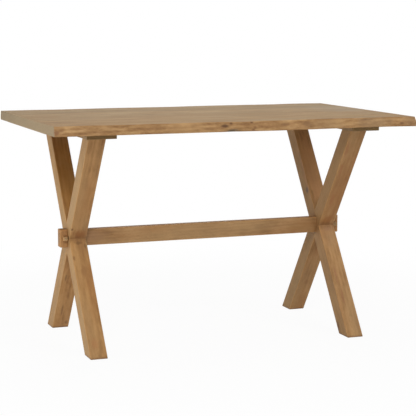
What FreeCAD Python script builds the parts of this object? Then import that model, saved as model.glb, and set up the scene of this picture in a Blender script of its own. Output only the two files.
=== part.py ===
import FreeCAD, Part
import math
import os

from FreeCAD import Vector

# Counter height table: an edge-glued top with two live edges on a pair of half-lapped X frames,
# tied by a through stretcher that is locked outside each crossing by a keeper block and a peg.
# Millimetres. Origin on the floor under the middle of the top, +X along the top, -Y to the front.

# Table top
top_length = 1500.0
top_width = 930.0
table_height = 920.0
top_thickness = 38.0
inner_plank_width = 126.0
inner_plank_count = 5

# Live edges: how far each line of the edge lies inside the full width, at equal steps along
# the top from -X to +X. The lower line runs along the underside, the upper one along the top face.
front_lower_setback = [15, 9, 10, 12, 10, 11, 9, 0, 4, 12, 16, 20, 16]
front_upper_setback = [20, 30, 13, 23, 15, 26, 4, 13, 23, 36, 23, 30, 17]
rear_lower_setback = [1, 3, 7, 5, 2, 5, 9, 3, 2, 4, 8, 3, 10]
rear_upper_setback = [8, 6, 18, 12, 7, 14, 22, 10, 6, 12, 18, 7, 19]
belly_height = 14.0
belly_swell = 4.0

# X frames
end_overhang = 197.0
leg_square = 70.0
foot_reach = 298.0
leg_top_lead = 2.5

# Cleats under the top
cleat_thickness = 18.0
cleat_flange = 24.5
cleat_inset = 62.5

# Stretcher and its locked ends
stretcher_thickness = 38.0
stretcher_height = 66.0
tenon_thickness = 22.0
tenon_height = 40.0
block_depth = 38.0
block_height = 74.0
block_length = 32.0
peg_square = 17.0
peg_gap = 4.0
peg_reach = 16.0
peg_chamfer = 2.0
joint_clearance = 0.15

# Bolts that hold the cleats up to the top, with their heads sunk in pockets of the cleats
bolt_diameter = 6.0
bolt_head_diameter = 12.0
bolt_head_height = 4.0
bolt_end_gap = 1.0
washer_diameter = 14.0
washer_thickness = 1.6
pocket_depth = 7.0
pocket_clearance = 0.5
insert_diameter = 10.0
insert_length = 15.0
slot_travel = 8.0
slot_clearance = 0.3
bolt_end_margin = 60.0

# Screws and dowels that hold the cleats down to the legs
leg_screw_diameter = 6.0
leg_screw_head_diameter = 12.0
leg_screw_head_height = 4.0
leg_screw_depth = 55.0
screw_head_cover = 1.0
dowel_diameter = 10.0
dowel_depth_in_leg = 28.0
dowel_cover = 7.0
leg_fastener_spacing = 34.0
screw_inset = 18.0
dowel_outset = 8.0
bore_clearance = 0.1

# Glides, let into the feet so that only glide_stand shows
glide_diameter = 32.0
glide_thickness = 2.5
glide_stand = 0.5
nail_diameter = 3.0
nail_length = 16.0

# Worked out from the sizes above
top_underside = table_height - top_thickness
leg_top = top_underside - cleat_thickness
cleat_width = leg_square + 2 * cleat_flange
pocket_floor = leg_top + pocket_depth
cleat_half_length = top_width / 2 - cleat_inset
leg_top_reach = foot_reach + leg_top_lead
lean_ratio = (leg_top_reach + foot_reach) / (leg_top - glide_stand)
leg_half_cut = leg_square / 2 * math.hypot(1, lean_ratio)
crossing_height = glide_stand + foot_reach / lean_ratio
frame_x = top_length / 2 - end_overhang
frame_inner_x = frame_x - leg_square / 2
frame_outer_x = frame_x + leg_square / 2
inner_half_width = inner_plank_count * inner_plank_width / 2
tenon_reach = frame_outer_x + block_length
peg_x = frame_outer_x + peg_gap + peg_square / 2
peg_half_length = block_depth / 2 + peg_reach
screw_head_seat = top_underside - leg_screw_head_height - screw_head_cover
sides = {"left": -1, "right": 1}


def box(x0, x1, y0, y1, z0, z1):
    return Part.makeBox(x1 - x0, y1 - y0, z1 - z0, Vector(x0, y0, z0))


def post(diameter, x, y, z0, z1):
    return Part.makeCylinder(diameter / 2, z1 - z0, Vector(x, y, z0))


def bore(diameter, x, y, z0, z1):
    return post(diameter + 2 * bore_clearance, x, y, z0, z1)


def bolt_places():
    flange_x = leg_square / 2 + cleat_flange / 2
    outer_y = cleat_half_length - bolt_end_margin
    rows = [-outer_y, -inner_plank_width, inner_plank_width, outer_y]
    return [
        (side * frame_x + shift, y)
        for side in sides.values()
        for shift in (-flange_x, flange_x)
        for y in rows
    ]


def leg_fastener_places(reach):
    half = leg_fastener_spacing / 2
    return [
        (side * frame_x + shift, face * reach)
        for side in sides.values()
        for face in (-1, 1)
        for shift in (-half, half)
    ]


screw_places = leg_fastener_places(leg_top_reach - screw_inset)
dowel_places = leg_fastener_places(leg_top_reach + dowel_outset)
foot_places = [(side * frame_x, face * foot_reach) for side in sides.values() for face in (-1, 1)]


# Table top

def insert_holes():
    end = top_underside + insert_length + bore_clearance
    return [bore(insert_diameter, x, y, top_underside, end) for x, y in bolt_places()]


def wave_line(setbacks, face, z):
    step = top_length / (len(setbacks) - 1)
    points = [
        Vector(i * step - top_length / 2, face * (top_width / 2 - setback), z)
        for i, setback in enumerate(setbacks)
    ]
    curve = Part.BSplineCurve()
    curve.interpolate(
        Points=points,
        Parameters=[point.x for point in points],
        Tangents=[Vector(1, 0, 0)] * len(points),
        TangentFlags=[True] * len(points),
        Scale=False,
    )
    return [span.toShape() for span in curve.toBezier()], points[0], points[-1]


def plank_outline(setbacks, face, z):
    spans, start, end = wave_line(setbacks, face, z)
    inner_start = Vector(start.x, face * inner_half_width, z)
    inner_end = Vector(end.x, face * inner_half_width, z)
    return Part.Wire(spans + [
        Part.makeLine(end, inner_end),
        Part.makeLine(inner_end, inner_start),
        Part.makeLine(inner_start, start),
    ])


def live_edge_plank(lower, upper, face):
    belly = [(a + b) / 2 - belly_swell for a, b in zip(lower, upper)]
    outlines = [
        plank_outline(lower, face, top_underside),
        plank_outline(belly, face, top_underside + belly_height),
        plank_outline(upper, face, table_height),
    ]
    plank = Part.makeLoft(outlines, True, True)
    return plank.cut(insert_holes())


def inner_plank(index):
    y0 = index * inner_plank_width - inner_half_width
    plank = box(-top_length / 2, top_length / 2, y0, y0 + inner_plank_width, top_underside, table_height)
    return plank.cut(insert_holes())


# X frames

def leg_prism(rise, x0, x1):
    corners = []
    for z, order in ((glide_stand, (-1, 1)), (leg_top, (1, -1))):
        middle = rise * (z - crossing_height) * lean_ratio
        corners += [Vector(x0, middle + turn * leg_half_cut, z) for turn in order]
    outline = Part.makePolygon(corners + corners[:1])
    return Part.Face(outline).extrude(Vector(x1 - x0, 0, 0))


def tenon_mortise():
    half_y = tenon_thickness / 2 + joint_clearance
    half_z = tenon_height / 2 + joint_clearance
    z = crossing_height
    return box(-tenon_reach, tenon_reach, -half_y, half_y, z - half_z, z + half_z)


def leg_bores():
    screw_end = leg_top - leg_screw_depth - bore_clearance
    dowel_end = leg_top - dowel_depth_in_leg - bore_clearance
    nail_end = glide_thickness + nail_length + bore_clearance
    bores = [bore(leg_screw_diameter, x, y, screw_end, leg_top) for x, y in screw_places]
    bores += [bore(dowel_diameter, x, y, dowel_end, leg_top) for x, y in dowel_places]
    bores += [bore(nail_diameter, x, y, glide_stand, nail_end) for x, y in foot_places]
    bores += [bore(glide_diameter, x, y, glide_stand, glide_thickness) for x, y in foot_places]
    return bores


def leg(side, rise):
    middle = side * frame_x
    half = leg_square / 2
    beam = leg_prism(rise, middle - half, middle + half)
    if rise > 0:
        lap = leg_prism(-rise, middle, middle + half)
    else:
        lap = leg_prism(-rise, middle - half, middle)
    return beam.cut([lap, tenon_mortise()] + leg_bores())


# Cleats

def slot(width, x, y, z0, z1):
    half = slot_travel / 2
    ends = [post(width, x, y + end, z0, z1) for end in (-half, half)]
    middle = box(x - width / 2, x + width / 2, y - half, y + half, z0, z1)
    return middle.fuse(ends)


def bolt_slot(x, y):
    shank_room = slot(bolt_diameter + 2 * slot_clearance, x, y, leg_top, top_underside)
    head_room = slot(washer_diameter + 2 * pocket_clearance, x, y, leg_top, pocket_floor)
    return shank_room.fuse(head_room)


def screw_seat(x, y):
    shank = bore(leg_screw_diameter, x, y, leg_top, top_underside)
    head = bore(leg_screw_head_diameter, x, y, screw_head_seat, top_underside)
    return shank.fuse(head)


def cleat(side):
    middle = side * frame_x
    half = cleat_width / 2
    batten = box(
        middle - half, middle + half,
        -cleat_half_length, cleat_half_length,
        leg_top, top_underside,
    )
    cuts = [bolt_slot(x, y) for x, y in bolt_places()]
    cuts += [screw_seat(x, y) for x, y in screw_places]
    dowel_top = top_underside - dowel_cover + bore_clearance
    cuts += [bore(dowel_diameter, x, y, leg_top, dowel_top) for x, y in dowel_places]
    return batten.cut(cuts)


# Stretcher and its locked ends

def peg_hole(side):
    half = peg_square / 2 + joint_clearance
    x = side * peg_x
    z = crossing_height
    return box(x - half, x + half, -peg_half_length, peg_half_length, z - half, z + half)


def stretcher():
    rail = box(
        -frame_inner_x, frame_inner_x,
        -stretcher_thickness / 2, stretcher_thickness / 2,
        crossing_height - stretcher_height / 2, crossing_height + stretcher_height / 2,
    )
    tenons = box(
        -tenon_reach, tenon_reach,
        -tenon_thickness / 2, tenon_thickness / 2,
        crossing_height - tenon_height / 2, crossing_height + tenon_height / 2,
    )
    rail = rail.fuse(tenons).removeSplitter()
    return rail.cut([peg_hole(side) for side in sides.values()])


def keeper_block(side):
    near, far = sorted((side * frame_outer_x, side * tenon_reach))
    block = box(
        near, far,
        -block_depth / 2, block_depth / 2,
        crossing_height - block_height / 2, crossing_height + block_height / 2,
    )
    return block.cut([tenon_mortise(), peg_hole(side)])


def peg(side):
    half = peg_square / 2
    x = side * peg_x
    z = crossing_height
    bar = box(x - half, x + half, -peg_half_length, peg_half_length, z - half, z + half)
    ends = [edge for edge in bar.Edges if abs(edge.BoundBox.YMax - edge.BoundBox.YMin) < peg_chamfer]
    return bar.makeChamfer(peg_chamfer, ends)


# Fasteners and glides

def ring(outer, inner, x, y, z0, z1):
    return post(outer, x, y, z0, z1).cut(post(inner, x, y, z0, z1))


def top_bolt(x, y):
    seat = pocket_floor - washer_thickness
    head = post(bolt_head_diameter, x, y, seat - bolt_head_height, seat)
    shank = post(bolt_diameter, x, y, seat, top_underside + insert_length - bolt_end_gap)
    return head.fuse(shank).removeSplitter()


def top_washer(x, y):
    hole = bolt_diameter + 2 * slot_clearance
    return ring(washer_diameter, hole, x, y, pocket_floor - washer_thickness, pocket_floor)


def top_insert(x, y):
    hole = bolt_diameter + 2 * bore_clearance
    return ring(insert_diameter, hole, x, y, top_underside, top_underside + insert_length)


def leg_screw(x, y):
    head_top = screw_head_seat + leg_screw_head_height
    head = post(leg_screw_head_diameter, x, y, screw_head_seat, head_top)
    shank = post(leg_screw_diameter, x, y, leg_top - leg_screw_depth, screw_head_seat)
    return head.fuse(shank).removeSplitter()


def leg_dowel(x, y):
    return post(dowel_diameter, x, y, leg_top - dowel_depth_in_leg, top_underside - dowel_cover)


def foot_glide(x, y):
    disc = post(glide_diameter, x, y, 0, glide_thickness)
    nail = post(nail_diameter, x, y, glide_thickness, glide_thickness + nail_length)
    return disc.fuse(nail).removeSplitter()


def group(make, places):
    return Part.makeCompound([make(x, y) for x, y in places])


nodes = {
    "front_live_edge_plank": live_edge_plank(front_lower_setback, front_upper_setback, -1),
    "rear_live_edge_plank": live_edge_plank(rear_lower_setback, rear_upper_setback, 1),
    "stretcher": stretcher(),
    "top_bolts": group(top_bolt, bolt_places()),
    "top_washers": group(top_washer, bolt_places()),
    "top_inserts": group(top_insert, bolt_places()),
    "leg_screws": group(leg_screw, screw_places),
    "leg_dowels": group(leg_dowel, dowel_places),
    "foot_glides": group(foot_glide, foot_places),
}
for index in range(inner_plank_count):
    nodes[f"top_plank_{index + 1}"] = inner_plank(index)
for name, side in sides.items():
    nodes[f"{name}_cleat"] = cleat(side)
    nodes[f"{name}_front_leg"] = leg(side, 1)
    nodes[f"{name}_rear_leg"] = leg(side, -1)
    nodes[f"{name}_keeper_block"] = keeper_block(side)
    nodes[f"{name}_peg"] = peg(side)

os.makedirs("parts", exist_ok=True)
for name, shape in nodes.items():
    shape.exportStep(f"parts/{name}.step")
    print(name, len(shape.Solids), "solids", round(shape.Volume), "mm3", shape.isValid())
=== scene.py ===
import bmesh
import bpy
import math
from mathutils import Matrix, Vector, noise


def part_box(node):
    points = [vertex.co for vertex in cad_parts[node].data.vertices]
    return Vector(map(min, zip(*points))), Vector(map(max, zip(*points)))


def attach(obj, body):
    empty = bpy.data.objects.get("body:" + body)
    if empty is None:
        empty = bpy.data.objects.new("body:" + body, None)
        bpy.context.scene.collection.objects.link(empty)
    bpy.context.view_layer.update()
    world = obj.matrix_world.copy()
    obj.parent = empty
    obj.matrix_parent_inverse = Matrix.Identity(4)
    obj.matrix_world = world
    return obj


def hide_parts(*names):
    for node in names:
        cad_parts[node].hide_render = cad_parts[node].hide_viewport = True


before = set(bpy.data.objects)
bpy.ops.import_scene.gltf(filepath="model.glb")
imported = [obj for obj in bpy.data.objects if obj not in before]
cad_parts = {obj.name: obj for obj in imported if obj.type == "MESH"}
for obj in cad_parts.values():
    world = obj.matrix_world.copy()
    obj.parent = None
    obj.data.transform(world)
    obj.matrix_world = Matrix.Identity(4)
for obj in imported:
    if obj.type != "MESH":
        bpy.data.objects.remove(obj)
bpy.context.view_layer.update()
scene = bpy.context.scene
scene.view_settings.view_transform = "Standard"
print("frame loaded:", len(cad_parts), "nodes")

hair = 1e-5          # metres, points closer than this count as one place
weld = 1e-6          # metres, points closer than this are merged
squareTo = 0.99      # a face or edge counts as square or parallel from this cosine on
boundless = 9.0      # metres, a half size that no piece reaches, so that side keeps no tint of its own


# camera and studio, metres like the frame

cameraSet = {
    "place": (-2.0472, -5.4959, 1.3445),
    "yaw": 19.94,          # degrees to the right of straight ahead
    "pitch": 8.13,         # degrees down
    "lens": 122.19,
    "sensor": 36.0,
    "shift": (0.0425, 0.0099),
    "clipEnd": 60.0,
}


def placeCamera():
    data = bpy.data.cameras.new("photoCamera")
    data.sensor_width = cameraSet["sensor"]
    data.lens = cameraSet["lens"]
    data.shift_x, data.shift_y = cameraSet["shift"]
    data.clip_end = cameraSet["clipEnd"]
    camera = bpy.data.objects.new("photoCamera", data)
    camera.location = cameraSet["place"]
    camera.rotation_euler = (math.radians(90 - cameraSet["pitch"]), 0, -math.radians(cameraSet["yaw"]))
    scene.collection.objects.link(camera)
    scene.camera = camera


# node helpers

def feed(tree, value, socket):
    if isinstance(value, bpy.types.NodeSocket):
        tree.links.new(value, socket)
    elif socket.type == "RGBA":
        socket.default_value = (*value, 1)
    else:
        socket.default_value = value


def calc(tree, operation, first, second=0.0):
    node = tree.nodes.new("ShaderNodeMath")
    node.operation = operation
    feed(tree, first, node.inputs[0])
    feed(tree, second, node.inputs[1])
    return node.outputs[0]


def vectorCalc(tree, operation, first, second=(0, 0, 0)):
    node = tree.nodes.new("ShaderNodeVectorMath")
    node.operation = operation
    feed(tree, first, node.inputs[0])
    feed(tree, second, node.inputs[1])
    return node.outputs["Value" if operation == "LENGTH" else "Vector"]


def between(tree, value, low, high, toLow=0.0, toHigh=1.0):
    node = tree.nodes.new("ShaderNodeMapRange")
    node.interpolation_type = "SMOOTHSTEP"
    for socket, number in zip(node.inputs[:5], (value, low, high, toLow, toHigh)):
        feed(tree, number, socket)
    return node.outputs["Result"]


def mixed(tree, share, first, second):
    node = tree.nodes.new("ShaderNodeMix")
    node.data_type = "RGBA"
    feed(tree, share, node.inputs[0])
    feed(tree, first, node.inputs[6])
    feed(tree, second, node.inputs[7])
    return node.outputs[2]


def swing(tree, value, depth):
    # a noise about its middle, made stronger or weaker
    return calc(tree, "MULTIPLY", calc(tree, "SUBTRACT", value, 0.5), depth)


def cloud(tree, vector, scale, detail, rough, output="Fac"):
    mapping = tree.nodes.new("ShaderNodeMapping")
    mapping.inputs["Scale"].default_value = scale
    tree.links.new(vector, mapping.inputs["Vector"])
    node = tree.nodes.new("ShaderNodeTexNoise")
    node.inputs["Scale"].default_value = 1.0
    node.inputs["Detail"].default_value = detail
    node.inputs["Roughness"].default_value = rough
    tree.links.new(mapping.outputs[0], node.inputs["Vector"])
    return node.outputs[output]


def ramp(tree, value, stops):
    node = tree.nodes.new("ShaderNodeValToRGB")
    elements = node.color_ramp.elements
    while len(elements) < len(stops):
        elements.new(0.5)
    for element, (position, colour) in zip(elements, stops):
        element.position = position
        element.color = (*colour, 1)
    tree.links.new(value, node.inputs[0])
    return node.outputs["Color"]


def objectPlace(tree):
    return tree.nodes.new("ShaderNodeTexCoord").outputs["Object"]


def axesOf(tree, vector):
    node = tree.nodes.new("ShaderNodeSeparateXYZ")
    tree.links.new(vector, node.inputs[0])
    return node.outputs


def roughen(tree, shader, height, strength, distance):
    bump = tree.nodes.new("ShaderNodeBump")
    bump.inputs["Strength"].default_value = strength
    bump.inputs["Distance"].default_value = distance
    tree.links.new(height, bump.inputs["Height"])
    tree.links.new(bump.outputs[0], shader.inputs["Normal"])


def newFinish(name):
    finish = bpy.data.materials.new(name)
    finish.use_nodes = True
    tree = finish.node_tree
    return finish, tree, tree.nodes["Principled BSDF"]


studio = {
    "domeLight": 0.1,
    "domeTint": (1.0, 1.0, 1.0),
    "floorRadius": 5.0,
    "floorSides": 96,
    "floorDrop": 0.0004,
    "floorColour": (0.86, 0.86, 0.86),
    "floorRough": 0.9,
    "floorGlow": 0.95,            # share of plain white that the camera sees near the table
    "fadeStart": 1.0,
    "fadeEnd": 2.4,
    "lamps": [
        # name, place, aims at, size, watts, shows in the gloss
        ("leftSoftbox", (-2.4, -0.25, 0.45), (-0.5, 0.0, 0.35), 0.9, 14.5, True),
        ("keySoftbox", (-2.0, -3.6, 2.9), (-0.3, 0.0, 0.4), 1.4, 78, True),
        ("rightSoftbox", (2.0, -3.2, 3.2), (0.3, 0.0, 0.3), 2.0, 38, True),
        ("sideFill", (2.6, -3.4, 1.8), (0.3, 0.0, 0.3), 1.8, 26, True),
        ("topSoftbox", (0.0, 0.3, 3.4), (0.0, 0.0, 0.9), 2.4, 26, True),
        ("backSoftbox", (1.4, 4.4, 2.0), (0.0, 0.0, 0.5), 2.2, 50, False),
    ],
}


def seenRay(tree):
    path = tree.nodes.new("ShaderNodeLightPath")
    seen = calc(tree, "MAXIMUM", path.outputs["Is Camera Ray"], path.outputs["Is Glossy Ray"])
    return calc(tree, "MAXIMUM", seen, path.outputs["Is Transmission Ray"])


def lightWorld():
    world = bpy.data.worlds.new("paleStudio")
    world.use_nodes = True
    scene.world = world
    tree = world.node_tree
    background = tree.nodes["Background"]
    feed(tree, studio["domeTint"], background.inputs["Color"])
    strength = between(tree, seenRay(tree), 0.0, 1.0, studio["domeLight"], 1.0)
    tree.links.new(strength, background.inputs["Strength"])


def floorFinish():
    finish, tree, shader = newFinish("paleFloor")
    feed(tree, studio["floorColour"], shader.inputs["Base Color"])
    shader.inputs["Roughness"].default_value = studio["floorRough"]
    glow = tree.nodes.new("ShaderNodeEmission")
    away = vectorCalc(tree, "LENGTH", objectPlace(tree))
    share = between(tree, away, studio["fadeStart"], studio["fadeEnd"], studio["floorGlow"], 1.0)
    mix = tree.nodes.new("ShaderNodeMixShader")
    tree.links.new(calc(tree, "MULTIPLY", share, seenRay(tree)), mix.inputs[0])
    tree.links.new(shader.outputs[0], mix.inputs[1])
    tree.links.new(glow.outputs[0], mix.inputs[2])
    tree.links.new(mix.outputs[0], tree.nodes["Material Output"].inputs["Surface"])
    return finish


def layFloor():
    bm = bmesh.new()
    bmesh.ops.create_circle(bm, cap_ends=True, segments=studio["floorSides"], radius=studio["floorRadius"])
    bmesh.ops.translate(bm, vec=(0, 0, -studio["floorDrop"]), verts=bm.verts)
    mesh = bpy.data.meshes.new("paleFloor")
    bm.to_mesh(mesh)
    bm.free()
    mesh.materials.append(floorFinish())
    floor = bpy.data.objects.new("paleFloor", mesh)
    scene.collection.objects.link(floor)


def hangLamps():
    for name, place, aim, size, watts, inGloss in studio["lamps"]:
        data = bpy.data.lights.new(name, "AREA")
        data.shape = "DISK"
        data.size = size
        data.energy = watts
        lamp = bpy.data.objects.new(name, data)
        lamp.location = place
        lamp.rotation_euler = (Vector(aim) - Vector(place)).to_track_quat("-Z", "Y").to_euler()
        lamp.visible_camera = False
        lamp.visible_glossy = inGloss
        scene.collection.objects.link(lamp)


placeCamera()
lightWorld()
layFloor()
hangLamps()
print("camera, floor and lamps in place")


# wood finish: one solid grain for every timber, x runs along the fibres in the piece's own axes

grain = {
    # noises: scale along and across the fibres, detail, roughness
    "wander": ((1.6, 4.0, 4.0), 2.0, 0.5),
    "streak": ((1.3, 58.0, 58.0), 3.0, 0.6),
    "fibre": ((7.0, 620.0, 620.0), 2.0, 0.5),
    "pore": ((48.0, 1250.0, 1250.0), 1.0, 0.5),
    "mottle": ((9.0, 26.0, 26.0), 4.0, 0.62),
    "blotch": ((5.0, 17.0, 17.0), 3.0, 0.5),
    "haze": ((1.7, 8.0, 8.0), 2.0, 0.5),
    "swirl": ((22.0, 56.0, 56.0), 4.0, 0.68),
    "wobble": ((30.0, 90.0, 90.0), 3.0, 0.5),
    "seedShift": (3.17, 1.31, 2.07),
    "hazeShift": (5.0, 3.0, 8.0),
    "fibreWander": (0.0, 0.022, 0.022),
    "ringWander": (0.0, 0.03, 0.03),
    "ringTurn": 0.6,                                # share of the askew lean that is also turned sideways
    "ringBend": 2.2, "ringDetail": 2.0, "ringDetailScale": 0.35,
    # where a noise starts to show and where it shows fully
    "poreRange": (0.61, 0.74), "redRange": (0.46, 0.74), "greyRange": (0.45, 0.75),
    "rubAndGlintRange": (0.3, 0.6, 0.35, 1.0),              # corners are lightened by a share of 0.35 at least
    "sideLightSkin": (0.004, 0.001), "endSkin": (0.0022, 0.0008),   # depths at which the tints fade in
    "cornerSkin": 0.0006,
    "poreShare": 0.45, "wobbleDepth": 0.9,
    "edgeTone": 0.7, "edgeBlotch": 0.3, "swirlDepth": 0.9,
    "floorShadeFrom": 0.001, "floorShadeWobble": 0.012, "floorShadeShare": 0.75,
    "poreRough": 0.12,
    "fibreHeight": 0.5, "ringHeight": 0.35, "poreDepth": 0.9, "bumpReach": 0.0008,
}


def mark(at, reach, share, colour, soft=0.25):
    # a knot or stain: middle, half sizes along the fibres and the two ways across, strength and colour;
    # soft is the share of its size within which it has its full strength
    return {"at": at, "reach": reach, "share": share, "colour": colour, "soft": soft}


def grainTurn(along, across):
    along = Vector(along).normalized()
    across = Vector(across).normalized()
    return Matrix((along, across, along.cross(across))).transposed()


def ownAxes(tree, place, centre, turn):
    node = tree.nodes.new("ShaderNodeMapping")
    node.vector_type = "TEXTURE"
    node.inputs["Location"].default_value = centre
    node.inputs["Rotation"].default_value = turn.to_euler()
    tree.links.new(place, node.inputs["Vector"])
    return node.outputs[0]


def growthRings(tree, local, wander, look):
    # rings about a pith that lies beside the timber and runs slightly askew
    pith = tree.nodes.new("ShaderNodeMapping")
    pith.inputs["Location"].default_value = look["pith"]
    pith.inputs["Rotation"].default_value = (0.0, look["askew"], look["askew"] * grain["ringTurn"])
    bent = vectorCalc(tree, "ADD", local, vectorCalc(tree, "MULTIPLY", wander, grain["ringWander"]))
    tree.links.new(bent, pith.inputs["Vector"])
    rings = tree.nodes.new("ShaderNodeTexWave")
    rings.wave_type = "RINGS"
    rings.rings_direction = "X"
    rings.inputs["Scale"].default_value = look["ringScale"]
    rings.inputs["Distortion"].default_value = grain["ringBend"]
    rings.inputs["Detail"].default_value = grain["ringDetail"]
    rings.inputs["Detail Scale"].default_value = grain["ringDetailScale"]
    tree.links.new(pith.outputs[0], rings.inputs["Vector"])
    return rings.outputs["Fac"]


def skinShare(tree, place, half, skin):
    # 1 at both ends of one axis, 0 deeper than the skin
    return between(tree, calc(tree, "ABSOLUTE", place), half - skin[0], half - skin[1])


def cornerShare(tree, axes, half, width):
    # 1 on the corners between two faces of a squared timber, 0 on its flats
    depths = [calc(tree, "SUBTRACT", calc(tree, "ABSOLUTE", axis), size) for axis, size in zip(axes, half)]
    lesser = calc(tree, "MINIMUM", depths[0], depths[1])
    greater = calc(tree, "MAXIMUM", depths[0], depths[1])
    second = calc(tree, "MAXIMUM", lesser, calc(tree, "MINIMUM", greater, depths[2]))
    return between(tree, second, -width, -grain["cornerSkin"])


def markShare(tree, local, wobble, place, spot):
    apart = vectorCalc(tree, "SUBTRACT", local, tuple(place))
    scaled = vectorCalc(tree, "DIVIDE", apart, spot["reach"])
    away = calc(tree, "ADD", vectorCalc(tree, "LENGTH", scaled), wobble)
    return calc(tree, "MULTIPLY", between(tree, away, 1.0, spot["soft"]), spot["share"])


def naturalEdge(tree, shifted, tone, blotch, look):
    # the warmer, swirled colour under the bark, and the share of the surface that has it
    edge = tree.nodes.new("ShaderNodeAttribute")
    edge.attribute_name = "rawEdge"
    plain = calc(tree, "MULTIPLY", tone, grain["edgeTone"])
    plain = calc(tree, "ADD", plain, calc(tree, "MULTIPLY", blotch, grain["edgeBlotch"]))
    swirl = swing(tree, cloud(tree, shifted, *grain["swirl"]), grain["swirlDepth"])
    return edge.outputs["Fac"], ramp(tree, calc(tree, "ADD", plain, swirl), look["edgeTones"])


def woodFinish(name, look, centre, turn, half, seed, marks=(), rawEdge=False, floorShadeTo=0.0):
    finish, tree, shader = newFinish(name)
    place = objectPlace(tree)
    local = ownAxes(tree, place, centre, turn)
    axes = axesOf(tree, local)
    shifted = vectorCalc(tree, "ADD", local, [seed * shift for shift in grain["seedShift"]])

    # the fibres wander a little from the straight
    wander = cloud(tree, shifted, *grain["wander"], output="Color")
    wander = vectorCalc(tree, "SUBTRACT", wander, (0.5, 0.5, 0.5))
    line = vectorCalc(tree, "ADD", shifted, vectorCalc(tree, "MULTIPLY", wander, grain["fibreWander"]))
    ring = growthRings(tree, local, wander, look)
    streak = cloud(tree, line, *grain["streak"])
    fibre = cloud(tree, line, *grain["fibre"])
    pore = between(tree, cloud(tree, line, *grain["pore"]), *grain["poreRange"])
    mottle = cloud(tree, line, *grain["mottle"])
    blotch = cloud(tree, shifted, *grain["blotch"])
    haze = cloud(tree, vectorCalc(tree, "ADD", shifted, grain["hazeShift"]), *grain["haze"])
    wobble = swing(tree, cloud(tree, shifted, *grain["wobble"]), grain["wobbleDepth"])

    figures = {"ringDepth": ring, "streakDepth": streak, "fibreDepth": fibre, "mottleDepth": mottle}
    tone = 0.5
    for depth, figure in figures.items():
        tone = calc(tree, "ADD", tone, swing(tree, figure, look[depth]))
    colour = ramp(tree, tone, look["tones"])
    reddish = between(tree, blotch, *grain["redRange"], 0.0, look["redShare"])
    colour = mixed(tree, reddish, colour, look["red"])
    greyish = between(tree, haze, *grain["greyRange"], 0.0, look["greyShare"])
    colour = mixed(tree, greyish, colour, look["grey"])
    # painted light: the two sides get a tint of their own, mostly greyer than the faces, for the light that
    # falls on them from the side
    sideLit = skinShare(tree, axes[1], half[1], grain["sideLightSkin"])
    colour = mixed(tree, calc(tree, "MULTIPLY", sideLit, look["paintedSideShare"]), colour, look["side"])
    colour = mixed(tree, calc(tree, "MULTIPLY", pore, grain["poreShare"]), colour, look["pore"])
    # sawn ends drink the finish and turn greyer
    sawn = skinShare(tree, axes[0], half[0], grain["endSkin"])
    colour = mixed(tree, calc(tree, "MULTIPLY", sawn, look["endShare"]), colour, look["end"])
    if rawEdge:
        raw, warm = naturalEdge(tree, shifted, tone, blotch, look)
        colour = mixed(tree, calc(tree, "MULTIPLY", raw, calc(tree, "SUBTRACT", 1.0, sawn)), colour, warm)
    # corners are painted lighter, unevenly: partly rubbed wear, partly a painted highlight where the
    # rounded arrises catch the light
    rub = cornerShare(tree, axes, half, look["rubAndGlintWidth"])
    rub = calc(tree, "MULTIPLY", rub, between(tree, haze, *grain["rubAndGlintRange"]))
    colour = mixed(tree, calc(tree, "MULTIPLY", rub, look["rubAndGlintShare"]), colour, look["rub"])
    for spot in marks:
        at = turn.inverted() @ (Vector(spot["at"]) - Vector(centre))
        colour = mixed(tree, markShare(tree, local, wobble, at, spot), colour, spot["colour"])
    if floorShadeTo:
        # painted shade: the feet are darker close to the floor, where they meet it
        uneven = calc(tree, "MULTIPLY", wobble, grain["floorShadeWobble"])
        level = calc(tree, "ADD", axesOf(tree, place)[2], uneven)
        scuff = between(tree, level, grain["floorShadeFrom"], floorShadeTo, grain["floorShadeShare"], 0.0)
        colour = mixed(tree, scuff, colour, look["pore"])
    tree.links.new(colour, shader.inputs["Base Color"])

    sheen = calc(tree, "ADD", calc(tree, "MULTIPLY", streak, look["roughSpread"]), look["rough"])
    sheen = calc(tree, "ADD", sheen, calc(tree, "MULTIPLY", pore, grain["poreRough"]))
    tree.links.new(sheen, shader.inputs["Roughness"])
    shader.inputs["Specular IOR Level"].default_value = look["specular"]

    height = calc(tree, "MULTIPLY", fibre, grain["fibreHeight"])
    height = calc(tree, "ADD", height, calc(tree, "MULTIPLY", ring, grain["ringHeight"]))
    height = calc(tree, "SUBTRACT", height, calc(tree, "MULTIPLY", pore, grain["poreDepth"]))
    roughen(tree, shader, height, look["bump"], grain["bumpReach"])
    return finish


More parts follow.
